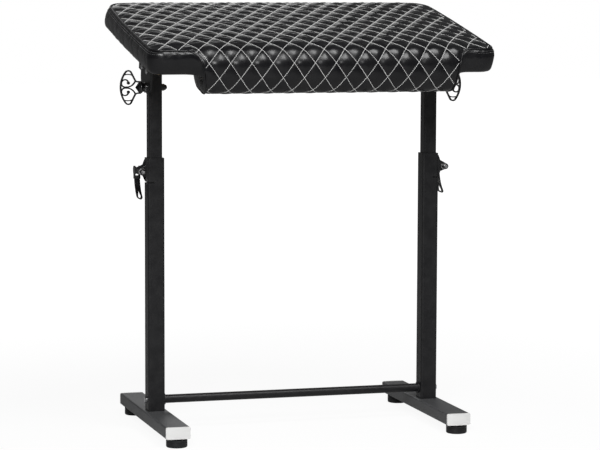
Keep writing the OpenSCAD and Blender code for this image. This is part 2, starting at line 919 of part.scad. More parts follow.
// Front roll that carries the quilting over the pad's front and down between the wings
module pad_roll() {
    points_in_loop = len(drop_shares);
    height = seam_rise - drop_floor;
    seam_v = seam_in - pad_front;
    middle_v = seam_v + drop_depth * 0.4;
    middle_w = drop_floor + height / 2;
    middle_x = (drop_right - drop_left) / 2;
    half_x = (drop_right + drop_left) / 2;
    rings = [
        [drop_first - 1, -drop_left, drop_end_round],
        for (i = [drop_first : drop_last]) [i, quilt_x(i), 0],
        [drop_last + 1, drop_right, drop_end_round]
    ];
    points = [for (ring = rings, q = [0 : points_in_loop - 1])
        let (
            share = drop_shares[q],
            quilted = q >= quilted_from && q <= quilted_to,
            inner = ring[0] >= drop_first && ring[0] <= drop_last,
            puff = quilted && inner && (ring[0] + q) % 2 == 0 ? puff_h : 0,
            v = seam_v + share[0] * drop_depth - puff,
            w = drop_floor + share[1] * height,
            lean = drop_taper * (1 - share[1]) * (middle_x - ring[1]) / half_x,
            shrink = [sign(v - middle_v), sign(w - middle_w)] * ring[2]
        )
            [ring[1] + lean, v - shrink[0], w - shrink[1]]];
    sides = [for (r = [0 : len(rings) - 2], q = [0 : points_in_loop - 1])
        let (
            a = r * points_in_loop + q,
            d = r * points_in_loop + (q + 1) % points_in_loop,
            b = a + points_in_loop,
            c = d + points_in_loop
        )
            each ((rings[r][0] + q) % 2 == 1 ? [[a, b, c], [a, c, d]] : [[a, b, d], [b, c, d]])];
    left_end = [for (q = [0 : points_in_loop - 1]) q];
    right_end = [for (q = [points_in_loop - 1 : -1 : 0]) (len(rings) - 1) * points_in_loop + q];
    polyhedron(points, [each sides, left_end, right_end]);
}

// Space of the board: the pad's plan, drawn in by the thickness of its wall
module board_block() {
    x = pad_w - 2 * wrap_t - 2 * pad_bow;
    depth = pad_front + pad_rear - 2 * wrap_t;
    translate([0, (pad_rear - pad_front) / 2, pad_floor])
        linear_extrude(board_t)
            rounded_rect(x, depth, pad_corner - wrap_t);
}

module pad_cushion() {
    color([0.09, 0.09, 0.1])
        in_pad()
            difference() {
                union() {
                    pad_box();
                    pad_roll();
                }
                board_block();
            }
}

// Plywood board with pilot holes for the screws of the angles
module pad_board() {
    color("burlywood")
        in_pad()
            difference() {
                board_block();
                for (side = [-1, 1], place = wood_places())
                    translate([side * (post_x + place[0]), place[1], pad_floor - overrun])
                        cylinder(d = wood_screw_d, h = wood_screw_l + overrun);
            }
}

// Flat plate that swings on the tilt bolt, bolted to the angle above it
module pivot_plate(side) {
    half = plate_w / 2;
    top = pad_floor - plate_top_gap;
    low = plate_corner - plate_foot;
    foot_half = half - plate_taper - plate_corner;
    waist = half - plate_taper * 1.1;
    color("black")
        at_pad_side(side)
            difference() {
                union() {
                    translate([plate_out, 0, 0])
                        rotate([90, 0, -90])
                            linear_extrude(plate_t)
                                polygon([[-half, top], [half, top], [waist, low - plate_t], [-waist, low - plate_t]]);
                    translate([plate_in, -foot_half, -plate_foot])
                        cube([plate_t, 2 * foot_half, 2 * plate_corner]);
                    for (end = [-1, 1])
                        translate([0, end * foot_half, low])
                            rod_x(2 * plate_corner, plate_in, plate_out);
                }
                rod_x(tilt_bolt_d + 2 * run_gap, 0, 2 * plate_out);
                for (end = [-1, 1])
                    translate([0, end * screw_span / 2, screw_rise])
                        rod_x(screw_d, 0, 2 * plate_out);
            }
}

// Places children in the pad's frame at a post, with +X pointing outwards
module at_pad_side(side) {
    in_pad()
        translate([side * post_x, 0, 0])
            mirror([side < 0 ? 1 : 0, 0, 0])
                children();
}

// Bent angle under the board: a leg against the pivot plate and a flange outwards
module angle_bracket(side) {
    color("black")
        at_pad_side(side)
            difference() {
                translate([0, plate_w / 2, 0])
                    rotate([90, 0, 0])
                        linear_extrude(plate_w)
                            union() {
                                translate([plate_out, angle_foot])
                                    square([plate_t, pad_floor - angle_foot - angle_bend - plate_t]);
                                translate([plate_out + plate_t + angle_bend, pad_floor - plate_t])
                                    square([flange_l - plate_t - angle_bend, plate_t]);
                                translate([plate_out + plate_t + angle_bend, pad_floor - plate_t - angle_bend])
                                    intersection() {
                                        difference() {
                                            circle(r = angle_bend + plate_t);
                                            circle(r = angle_bend);
                                        }
                                        translate([-angle_bend - plate_t, 0])
                                            square([angle_bend + plate_t, angle_bend + plate_t]);
                                    }
                            }
                for (end = [-1, 1])
                    translate([0, end * screw_span / 2, screw_rise])
                        rod_x(screw_d + 2 * fit_gap, plate_in, 2 * plate_out + plate_t);
                for (place = wood_places())
                    translate([place[0], place[1], pad_floor - board_t])
                        cylinder(d = wood_screw_d + 2 * fit_gap, h = 2 * board_t);
            }
}

function wood_places() =
    let (first = plate_out + plate_t + angle_bend + wood_inset)
        [for (x = [0, 1], y = [-1, 1]) [first + x * wood_span_x, y * wood_span_y / 2]];

// Round-headed screws that join each plate to its angle
module plate_screws() {
    leg_face = plate_out + plate_t;
    dome_h = screw_head_h - screw_rim;
    ball_r = (screw_head_d * screw_head_d / 4 + dome_h * dome_h) / (2 * dome_h);
    color("gainsboro")
        for (side = [-1, 1], end = [-1, 1])
            at_pad_side(side)
                translate([0, end * screw_span / 2, screw_rise]) {
                    rod_x(screw_d, plate_in, leg_face);
                    rotate([0, 90, 0])
                        rotate_extrude()
                            intersection() {
                                translate([0, leg_face - overrun / 4])
                                    square([screw_head_d / 2, screw_head_h + overrun]);
                                translate([0, leg_face + screw_head_h - ball_r])
                                    circle(r = ball_r);
                                translate([0, leg_face])
                                    square([screw_head_d, screw_head_d]);
                            }
                }
}

module board_screws() {
    color("silver")
        for (side = [-1, 1], place = wood_places())
            at_pad_side(side)
                translate([place[0], place[1], pad_floor - plate_t]) {
                    cylinder(d = wood_screw_d, h = plate_t + wood_screw_l);
                    translate([0, 0, -wood_head_h])
                        cylinder(d1 = wood_head_d * 0.7, d2 = wood_head_d, h = wood_head_h);
                }
}

foot_beam(-1);  // left_foot_beam
foot_beam(1);  // right_foot_beam
end_cap(-1, -1);  // left_front_cap
end_cap(1, -1);  // right_front_cap
end_cap(-1, 1);  // left_rear_cap
end_cap(1, 1);  // right_rear_cap
foot_nuts();
lower_post(-1);  // left_lower_post
lower_post(1);  // right_lower_post
guide_sleeve(-1);  // left_guide_sleeve
guide_sleeve(1);  // right_guide_sleeve
cross_bar();
cross_bar_plugs();
cross_bar_rings();
cross_bar_bolts();
clamp_bolt(-1);  // left_clamp_bolt
clamp_bolt(1);  // right_clamp_bolt
clamp_nuts();
clamp_washers();
cam_seats();
cam_pins();
cam_lever(-1);  // left_cam_lever
cam_lever(1);  // right_cam_lever
upper_post(-1);  // left_upper_post
upper_post(1);  // right_upper_post
post_plug(-1);  // left_post_plug
post_plug(1);  // right_post_plug
slide_shoe(-1);  // left_slide_shoe
slide_shoe(1);  // right_slide_shoe
tilt_bolt(-1);  // left_tilt_bolt
tilt_bolt(1);  // right_tilt_bolt
spacer_tube(-1);  // left_spacer_tube
spacer_tube(1);  // right_spacer_tube
cap_nut(-1);  // left_cap_nut
cap_nut(1);  // right_cap_nut
friction_washer(-1);  // left_friction_washer
friction_washer(1);  // right_friction_washer
steel_washer(-1);  // left_steel_washer
steel_washer(1);  // right_steel_washer
tilt_handle(-1);  // left_tilt_handle
tilt_handle(1);  // right_tilt_handle
pad_cushion();
pad_board();
pivot_plate(-1);  // left_pivot_plate
pivot_plate(1);  // right_pivot_plate
angle_bracket(-1);  // left_angle
angle_bracket(1);  // right_angle
plate_screws();
board_screws();
glide(-1, -1);  // left_front_glide
glide(1, -1);  // right_front_glide
glide(-1, 1);  // left_rear_glide
glide(1, 1);  // right_rear_glide
glide_stud(-1, -1);  // left_front_stud
glide_stud(1, -1);  // right_front_stud
glide_stud(-1, 1);  // left_rear_stud
glide_stud(1, 1);  // right_rear_stud
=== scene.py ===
import json
import math

import bmesh
import bpy
import numpy as np
from mathutils import Matrix, Vector
from mathutils.bvhtree import BVHTree


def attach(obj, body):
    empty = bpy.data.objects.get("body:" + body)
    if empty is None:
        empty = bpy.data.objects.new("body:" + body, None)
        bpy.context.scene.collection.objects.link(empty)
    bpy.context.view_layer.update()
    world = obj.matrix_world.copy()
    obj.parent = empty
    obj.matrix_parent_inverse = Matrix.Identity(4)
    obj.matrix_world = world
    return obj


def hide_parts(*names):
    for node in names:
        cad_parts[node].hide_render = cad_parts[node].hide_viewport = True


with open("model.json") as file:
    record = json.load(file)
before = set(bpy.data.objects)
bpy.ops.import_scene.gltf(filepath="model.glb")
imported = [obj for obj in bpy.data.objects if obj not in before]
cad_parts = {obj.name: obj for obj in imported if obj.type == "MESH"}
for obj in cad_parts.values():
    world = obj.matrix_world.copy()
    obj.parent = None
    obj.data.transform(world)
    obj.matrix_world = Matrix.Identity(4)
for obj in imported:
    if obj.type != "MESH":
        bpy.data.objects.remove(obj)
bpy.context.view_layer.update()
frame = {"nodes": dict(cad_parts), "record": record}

mm = 0.001  # the pad is drawn in millimetres


# The camera stands where the photograph was taken from.
cameraSettings = {
    "place": (-1.3255, -4.56844, 0.8669),
    "turn": 16.303,  # degrees towards +X
    "tip": 5.813,  # degrees down
    "roll": 0.195,
    "lens": 151.2,
}


def addCamera(settings):
    turn, tip, roll = (math.radians(settings[name]) for name in ("turn", "tip", "roll"))
    ahead = Vector((math.sin(turn) * math.cos(tip), math.cos(turn) * math.cos(tip), -math.sin(tip)))
    right = Vector((math.cos(turn), -math.sin(turn), 0))
    up = right.cross(ahead)
    tiltedRight = right * math.cos(roll) + up * math.sin(roll)
    tiltedUp = up * math.cos(roll) - right * math.sin(roll)
    data = bpy.data.cameras.new("photoCamera")
    data.lens = settings["lens"]
    data.sensor_width = 36
    data.clip_end = 60
    camera = bpy.data.objects.new("photoCamera", data)
    camera.matrix_world = Matrix((tiltedRight, tiltedUp, -ahead)).transposed().to_4x4()
    camera.location = settings["place"]
    bpy.context.collection.objects.link(camera)
    bpy.context.scene.camera = camera


addCamera(cameraSettings)
print("camera placed")


# Each finish has two tones that drift into each other, a range of roughness and one or two grains.
# A grain is its kind, its scale and its depth in metres. A coat or sheen is its weight and its roughness.
finishes = {
    "beamCoat": {
        "slot": "beam_grey",
        "tones": ((0.024, 0.025, 0.027), (0.125, 0.127, 0.132)),
        "drift": 420,
        "roughness": (0.36, 0.52),
        "grains": (("noise", 620, 0.00018), ("noise", 160, 0.0001)),
        "specular": 0.6,
    },
    "postCoat": {
        "slot": "post_black",
        "tones": ((0.008, 0.008, 0.009), (0.014, 0.014, 0.015)),
        "drift": 60,
        "roughness": (0.34, 0.46),
        "grains": (("noise", 1300, 0.00002), ("noise", 45, 0.00003)),
        "specular": 0.36,
    },
    "capPlastic": {
        "slot": "cap_white",
        "tones": ((0.9, 0.9, 0.89), (0.95, 0.95, 0.94)),
        "drift": 30,
        "roughness": (0.34, 0.46),
        "grains": (("noise", 900, 0.00002),),
        "specular": 0.5,
    },
    "zincPlate": {
        "slot": "zinc",
        "tones": ((0.52, 0.52, 0.53), (0.7, 0.7, 0.71)),
        "drift": 180,
        "roughness": (0.2, 0.36),
        "grains": (("noise", 1800, 0.000008),),
        "metallic": 1.0,
    },
    "mouldedBlack": {
        "slot": "black_plastic",
        "tones": ((0.006, 0.006, 0.007), (0.013, 0.013, 0.014)),
        "drift": 80,
        "roughness": (0.42, 0.56),
        "grains": (("noise", 1500, 0.00003),),
        "specular": 0.45,
    },
    "glossEnamel": {
        "slot": "enamel_black",
        "tones": ((0.004, 0.004, 0.005), (0.008, 0.008, 0.009)),
        "drift": 70,
        "roughness": (0.16, 0.26),
        "grains": (("noise", 260, 0.00003),),
        "coat": (0.6, 0.12),
    },
    "nylonWasher": {
        "slot": "nylon",
        "tones": ((0.66, 0.65, 0.61), (0.76, 0.75, 0.71)),
        "drift": 120,
        "roughness": (0.4, 0.5),
        "grains": (("noise", 900, 0.00002),),
        "subsurface": 0.15,
    },
    "padLeather": {
        "slot": "pu_leather",
        "tones": ((0.003, 0.003, 0.004), (0.007, 0.007, 0.008)),
        "drift": 26,
        "roughness": (0.22, 0.3),
        "grains": (("cells", 950, 0.00002), ("noise", 240, 0.000016)),
        "specular": 0.4,
    },
    "seamThread": {
        "tones": ((0.68, 0.68, 0.67), (0.82, 0.82, 0.81)),
        "drift": 300,
        "roughness": (0.5, 0.66),
        "grains": (("twist", 1500, 0.00006),),
        "sheen": (0.3, 0.5),
    },
    "darkThread": {
        "tones": ((0.03, 0.03, 0.031), (0.055, 0.055, 0.056)),
        "drift": 300,
        "roughness": (0.4, 0.55),
        "grains": (("twist", 1500, 0.00005),),
        "sheen": (0.3, 0.5),
    },
}


grainSettings = {
    "cellSmoothness": 0.35,
    "twistDistortion": 1.5,
    "detail": 3,
}


def addGrain(tree, place, kind, scale, depth, under):
    # one layer of fine relief, which lies on the relief under it
    if kind == "cells":
        texture = tree.nodes.new("ShaderNodeTexVoronoi")
        texture.feature = "SMOOTH_F1"
        texture.inputs["Smoothness"].default_value = grainSettings["cellSmoothness"]
        height = texture.outputs["Distance"]
    elif kind == "twist":
        texture = tree.nodes.new("ShaderNodeTexWave")
        texture.bands_direction = "DIAGONAL"
        texture.inputs["Distortion"].default_value = grainSettings["twistDistortion"]
        height = texture.outputs["Fac"]
    else:
        texture = tree.nodes.new("ShaderNodeTexNoise")
        texture.inputs["Detail"].default_value = grainSettings["detail"]
        height = texture.outputs["Fac"]
    texture.inputs["Scale"].default_value = scale
    tree.links.new(place, texture.inputs["Vector"])
    bump = tree.nodes.new("ShaderNodeBump")
    bump.inputs["Strength"].default_value = 1
    bump.inputs["Distance"].default_value = depth
    tree.links.new(height, bump.inputs["Height"])
    if under is not None:
        tree.links.new(under, bump.inputs["Normal"])
    return bump.outputs["Normal"]


driftSettings = {
    "detail": 4,
    "tonesAt": (0.32, 0.7),  # where the drift shows the two tones
    "wearAt": (0.3, 0.7),  # where it shows the two ends of the roughness
}


def makeFinish(name, settings):
    finish = bpy.data.materials.new(name)
    finish.use_nodes = True
    tree = finish.node_tree
    shader = tree.nodes["Principled BSDF"]
    place = tree.nodes.new("ShaderNodeTexCoord").outputs["Object"]
    drift = tree.nodes.new("ShaderNodeTexNoise")
    drift.inputs["Scale"].default_value = settings["drift"]
    drift.inputs["Detail"].default_value = driftSettings["detail"]
    tree.links.new(place, drift.inputs["Vector"])
    tones = tree.nodes.new("ShaderNodeValToRGB")
    for stop, position, tone in zip(tones.color_ramp.elements, driftSettings["tonesAt"], settings["tones"]):
        stop.position = position
        stop.color = (*tone, 1)
    tree.links.new(drift.outputs["Fac"], tones.inputs["Fac"])
    tree.links.new(tones.outputs["Color"], shader.inputs["Base Color"])
    wear = tree.nodes.new("ShaderNodeMapRange")
    wear.inputs["From Min"].default_value, wear.inputs["From Max"].default_value = driftSettings["wearAt"]
    wear.inputs["To Min"].default_value, wear.inputs["To Max"].default_value = settings["roughness"]
    tree.links.new(drift.outputs["Fac"], wear.inputs["Value"])
    tree.links.new(wear.outputs["Result"], shader.inputs["Roughness"])
    normal = None
    for kind, scale, depth in settings["grains"]:
        normal = addGrain(tree, place, kind, scale, depth, normal)
    tree.links.new(normal, shader.inputs["Normal"])
    shader.inputs["Metallic"].default_value = settings.get("metallic", 0)
    shader.inputs["Specular IOR Level"].default_value = settings.get("specular", 0.5)
    for layer in ("coat", "sheen"):
        if layer in settings:
            weight, roughness = settings[layer]
            shader.inputs[layer.title() + " Weight"].default_value = weight
            shader.inputs[layer.title() + " Roughness"].default_value = roughness
    if "subsurface" in settings:
        shader.inputs["Subsurface Weight"].default_value = settings["subsurface"]
        shader.inputs["Subsurface Scale"].default_value = mm
    return finish


# The underside of the board is a rotary cut veneer, with its grain along the pad.
veneer = {
    "tones": ((0.36, 0.235, 0.13), (0.56, 0.41, 0.255)),
    "tonesAt": (0.35, 0.65),
    "stretch": (3, 42, 42),
    "scale": 2.2,
    "detail": 9,
    "swirl": 0.9,
    "roughness": 0.62,
    "fibre": 0.00012,  # depth of the relief in metres
}


def makeVeneer(name, settings):
    finish = bpy.data.materials.new(name)
    finish.use_nodes = True
    tree = finish.node_tree
    shader = tree.nodes["Principled BSDF"]
    mapping = tree.nodes.new("ShaderNodeMapping")
    mapping.inputs["Scale"].default_value = settings["stretch"]
    tree.links.new(tree.nodes.new("ShaderNodeTexCoord").outputs["Object"], mapping.inputs["Vector"])
    figure = tree.nodes.new("ShaderNodeTexNoise")
    figure.inputs["Scale"].default_value = settings["scale"]
    figure.inputs["Detail"].default_value = settings["detail"]
    figure.inputs["Distortion"].default_value = settings["swirl"]
    tree.links.new(mapping.outputs["Vector"], figure.inputs["Vector"])
    tones = tree.nodes.new("ShaderNodeValToRGB")
    for stop, position, tone in zip(tones.color_ramp.elements, settings["tonesAt"], settings["tones"]):
        stop.position = position
        stop.color = (*tone, 1)
    tree.links.new(figure.outputs["Fac"], tones.inputs["Fac"])
    tree.links.new(tones.outputs["Color"], shader.inputs["Base Color"])
    bump = tree.nodes.new("ShaderNodeBump")
    bump.inputs["Distance"].default_value = settings["fibre"]
    tree.links.new(figure.outputs["Fac"], bump.inputs["Height"])
    tree.links.new(bump.outputs["Normal"], shader.inputs["Normal"])
    shader.inputs["Roughness"].default_value = settings["roughness"]
    return finish


madeFinishes = {name: makeFinish(name, settings) for name, settings in finishes.items()}
madeFinishes["boardVeneer"] = makeVeneer("boardVeneer", veneer)
finishOfSlot = {settings["slot"]: madeFinishes[name]
                for name, settings in finishes.items() if "slot" in settings}
finishOfSlot["plywood"] = madeFinishes["boardVeneer"]


def dressNodes():
    for part in frame["record"]["subparts"]:
        node = frame["nodes"][part["node"]]
        finish = finishOfSlot[part["material_slot"]]
        if not node.material_slots:
            node.data.materials.append(finish)
        for slot in node.material_slots:
            slot.material = finish


dressNodes()
print("finishes on the frame")


def addMesh(name, points, faces, finish, body):
    mesh = bpy.data.meshes.new(name)
    mesh.from_pydata([tuple(point) for point in points], [], faces)
    mesh.validate()
    mesh.shade_smooth()
    mesh.materials.append(finish)
    piece = bpy.data.objects.new(name, mesh)
    bpy.context.collection.objects.link(piece)
    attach(piece, body)
    return piece


# The pad is drawn from the tilt axis: x across, v to the rear along the board, w away from the board.
# Its top is a sheet of rows, each from one crossing of the seams to the next and fineCells mesh cells deep.
# Row 0 is near the front edge, the rows behind it are negative, and those above 1 lie on the front roll.
padSettings = {
    "axis": (9.76, 646.0),  # y and z of the tilt axis
    "tilt": 11.0,
    "rowDepth": 31.17,  # one row of crossings to the next, on the top
    "rearRows": 12,
    "dropRows": 9,
    "fineCells": 6,  # mesh cells in a row
    "middle": 16.2,  # x of a crossing on the front edge's row
    "pitch": ((0, 1, 2), (38.5, 38.95, 39.5)),  # width of a diamond by row
    "columns": (-110, 104),  # mesh columns, the ones past the edges are dropped
    "snap": 0.4,  # share of a cell within which a point moves to the edge
    "frontEdge": -162.0,
    "wingSeam": -196.0,
    "rearSeam": 212.0,
    "sideSeam": 325.0,
    "sideBow": (3.0, 7.0),  # how far the sides draw in at the front and at the rear
    "frontCorner": 19.0,
    "rearCorner": 42.0,
    "seamRise": 114.0,
    "board": {"side": 317.2, "rear": 207.2, "corner": 14.0},
    "centre": 8.0,  # v of the middle of the top
    "halfDepth": 204.0,
    "crown": 9.0,
    "crownPowers": (5, 8),  # how late the crown falls off to the front and rear, and to the sides
    "puff": 3.3,
    "puffPower": 0.65,
    "rimWidth": 9,  # the puffs fade out towards the outer seam
    "crease": 0.32,  # share of the puff lost in the fold across a diamond
    "creaseWidth": 0.13,
    "creaseWander": (0.08, 2.3, 1.7),  # how far a fold lies off the middle, and its changes across and along
    "creaseEnd": (-0.5, 0.3),  # rows over which the folds end
    "join": (-84, 78),  # columns where the wings' front seams end
    "wingBlend": ((-262, -232), (249, 279)),
    "wings": (-250, 262),  # the wings lie past these, and have a seam in front
    "fadeRows": (4.3, 5.4),
    "rollTight": 0.5,  # share of the puff lost where the leather is drawn over the roll
    "tightRows": (0.2, 1.3),
}
# the front roll from the side, as (v, w), a point for each row
rollProfile = [(-130.8, 121.7), (-162, 119.4), (-190.5, 114), (-207.5, 93), (-209.7, 66.4), (-201, 41.7),
               (-177, 30.8), (-150, 30.5), (-122, 33), (-101, 48), (-95, 69.5), (-89, 91)]
# left and right edge of the front roll by row
rollEdges = ((1, 1.17, 1.33, 1.5, 2, 3, 4, 5, 9),
             (-256.45, -250.5, -242.5, -237, -231, -227.5, -222.5, -219, -219),
             (269.4, 265.5, 260.5, 258, 254.5, 250, 246, 243, 243))
# the side wall from the top seam to the board, then its hem round the board's edge, as (inset, w)
wallProfile = ((7, 114), (2.2, 109.5), (0, 99), (1.8, 86), (4.6, 74.5), (7.5, 70.2), (10, 69.7))
hemProfile = ((12.6, 69.5), (14.8, 69.5), (14.9, 81.7))


def padPlace(point):
    x, v, w = point
    tilt = math.radians(padSettings["tilt"])
    y = padSettings["axis"][0] + v * math.cos(tilt) - w * math.sin(tilt)
    z = padSettings["axis"][1] + v * math.sin(tilt) + w * math.cos(tilt)
    return Vector((x * mm, y * mm, z * mm))


def easeStep(low, high, value):
    share = min(max((value - low) / (high - low), 0), 1)
    return share * share * (3 - 2 * share)


def rollPoint(row):
    index = min(int(row), padSettings["dropRows"] - 1)
    share = row - index
    before, start, end, after = (Vector(point) for point in rollProfile[index:index + 4])
    return 0.5 * (2 * start + (end - before) * share + (2 * before - 5 * start + 4 * end - after) * share ** 2
                  + (3 * start - before - 3 * end + after) * share ** 3)


def columnX(column, row):
    cells = padSettings["fineCells"]
    return padSettings["middle"] + float(np.interp(row, *padSettings["pitch"])) * column / (2 * cells)


def crownRise(x, v):
    lengthways, sideways = padSettings["crownPowers"]
    fade = 1 - abs((v - padSettings["centre"]) / padSettings["halfDepth"]) ** lengthways
    fade *= 1 - abs(x / padSettings["sideSeam"]) ** sideways
    return padSettings["seamRise"] + padSettings["crown"] * max(fade, 0)


def topPoint(x, row):
    if row <= 0:
        v = padSettings["frontEdge"] - padSettings["rowDepth"] * row
    else:
        v = padSettings["frontEdge"] + (padSettings["wingSeam"] - padSettings["frontEdge"]) * row
    return Vector((v, crownRise(x, v)))


def sheetPoint(x, row):
    if row <= 0:
        point = topPoint(x, row)
    elif row > 1:
        point = rollPoint(row)
    else:
        (leftOut, leftIn), (rightIn, rightOut) = padSettings["wingBlend"]
        onRoll = easeStep(leftOut, leftIn, x) * (1 - easeStep(rightIn, rightOut, x))
        point = topPoint(x, row).lerp(rollPoint(row), onRoll)
    return Vector((x, point[0], point[1]))


def topEdge(row):
    # half the width of the top at a row
    fromCentre = topPoint(0, row)[0] - padSettings["centre"]
    atRear = fromCentre > 0
    radius = padSettings["rearCorner"] if atRear else padSettings["frontCorner"]
    reach = abs(fromCentre) / padSettings["halfDepth"]
    past = max(abs(fromCentre) - (padSettings["halfDepth"] - radius), 0)
    straight = padSettings["sideSeam"] - padSettings["sideBow"][atRear] * reach ** 2 - radius
    return straight + math.sqrt(max(radius ** 2 - past ** 2, 0))


def hemPlace(point):
    # where a point of the top seam comes down to at the edge of the board, whose rear corners are tighter
    seamCorner, board = padSettings["rearCorner"], padSettings["board"]
    side, rear, centre = padSettings["sideSeam"], padSettings["rearSeam"], padSettings["centre"]
    sideways = (0, board["side"] - board["corner"], board["side"])
    lengthways = (centre, board["rear"] - board["corner"], board["rear"])
    x = float(np.interp(abs(point[0]), (0, side - seamCorner, side), sideways))
    v = float(np.interp(point[1], (centre, rear - seamCorner, rear), lengthways))
    return Vector((math.copysign(x, point[0]), v))


class PadMesh:
    # points and faces of the pad's cover, with what is stitched down
    def __init__(self):
        self.points = []
        self.puffs = []
        self.pinned = []
        self.faces = []
        self.known = {}

    def add(self, key, point, puff=0.0, pinned=True):
        if key not in self.known:
            self.known[key] = len(self.points)
            self.points.append(Vector(point))
            self.puffs.append(puff)
            self.pinned.append(pinned)
        return self.known[key]

    def face(self, *corners):
        loop = [corner for index, corner in enumerate(corners) if corner != corners[index - 1]]
        if len(set(loop)) == len(loop) and len(loop) > 2:
            self.faces.append(loop)


def sheetEdges(row):
    if row > 1:
        return [float(np.interp(row, rollEdges[0], edge)) for edge in rollEdges[1:]]
    right = topEdge(row)
    return -right, right


def quiltCorner(pad, line, column, onRoll):
    # the mesh point of a line and column, or the point where that line meets the edge
    cells = padSettings["fineCells"]
    row = line / cells
    leftJoin, rightJoin = padSettings["join"]
    if onRoll and line == cells:
        column = min(max(column, leftJoin), rightJoin)
    x = columnX(column, row)
    left, right = sheetEdges(row)
    edge = padSettings["snap"] * (columnX(1, row) - columnX(0, row))
    if x < left + edge:
        return pad.add((line, "left"), sheetPoint(left, row))
    if x > right - edge:
        return pad.add((line, "right"), sheetPoint(right, row))
    across, along = (column - line) % (2 * cells), (column + line) % (2 * cells)
    puff = math.sin(math.pi * across / (2 * cells)) * math.sin(math.pi * along / (2 * cells))
    puff **= padSettings["puffPower"]
    fold = (along - across) / (2 * cells)  # 0 in the middle of a diamond, from front to back
    reach, perColumn, perLine = padSettings["creaseWander"]
    wander = reach * math.sin(perColumn * (column // cells) + perLine * (line // cells))
    crease = math.exp(-((fold - wander) / padSettings["creaseWidth"]) ** 2)
    puff *= 1 - padSettings["crease"] * crease * (1 - easeStep(*padSettings["creaseEnd"], row))
    rim = min(x - left, right - x)
    if line <= cells and (line == cells or line == -cells * padSettings["rearRows"]):
        rim = 0 if line < 0 or not (leftJoin < column < rightJoin) else rim
    rim = min(rim, (row + padSettings["rearRows"]) * padSettings["rowDepth"])
    leftWing, rightWing = padSettings["wings"]
    if line <= cells and (x < leftWing or x > rightWing):
        rim = min(rim, (cells - line) / cells * padSettings["rowDepth"])
    puff *= easeStep(0, padSettings["rimWidth"], rim) * (1 - easeStep(*padSettings["fadeRows"], row))
    puff *= 1 - padSettings["rollTight"] * easeStep(*padSettings["tightRows"], row)
    stitched = (across == 0 or along == 0) and row < padSettings["fadeRows"][1]
    return pad.add((line, column), sheetPoint(x, row), puff, stitched or rim <= 0)


def addQuilt(pad):
    cells = padSettings["fineCells"]
    for line in range(-cells * padSettings["rearRows"], cells * padSettings["dropRows"]):
        onRoll = line >= cells
        for column in range(*padSettings["columns"]):
            a, b, c, d = (quiltCorner(pad, line + down, column + along, onRoll)
                          for down, along in ((0, 0), (0, 1), (1, 1), (1, 0)))
            if (column - line) % (2 * cells) == 0:
                pad.face(a, b, c)
                pad.face(a, c, d)
            elif (column + 1 + line) % (2 * cells) == 0:
                pad.face(a, b, d)
                pad.face(b, c, d)
            else:
                pad.face(a, b, c, d)


def seamLoop(pad):
    # the keys of the top seam, from the left end of the front roll round the back to its right end
    cells = padSettings["fineCells"]
    leftJoin, rightJoin = padSettings["join"]
    rear = -cells * padSettings["rearRows"]
    columnsOf = {line: sorted(key[1] for key in pad.known if key[0] == line and isinstance(key[1], int))
                 for line in (cells, rear)}
    keys = [(cells, column) for column in reversed(columnsOf[cells]) if column <= leftJoin]
    keys += [(line, "left") for line in range(cells, rear - 1, -1)]
    keys += [(rear, column) for column in columnsOf[rear]]
    keys += [(line, "right") for line in range(rear, cells + 1)]
    keys += [(cells, column) for column in reversed(columnsOf[cells]) if column >= rightJoin]
    return keys


def alongPath(path, shares):
    # points at shares of a path's length
    path = np.array(path, float)
    steps = np.concatenate(([0], np.cumsum(np.linalg.norm(np.diff(path, axis=0), axis=1))))
    if steps[-1] == 0:
        return [path[0]] * len(shares)
    return [np.array([np.interp(share * steps[-1], steps, path[:, axis]) for axis in range(path.shape[1])])
            for share in shares]


wallSettings = {
    "cornerPull": 0.9,  # the leather is pulled tight round a corner
    "lowRows": (1, 10),  # mesh rows over which the wall comes to the board's edge
    "joinFoot": (-4, -199.5, 68.4),  # where a wing's hem meets the end of the front roll
    "swing": 22.0,  # largest radius with which a wing turns into the roll
    "swingShare": 0.4,
    "swingRows": (0, 5),
    "swingSteps": 9,
    "levelFrom": 0.45,  # share of a wing from which the wall's rows rise or fall to the roll's
}


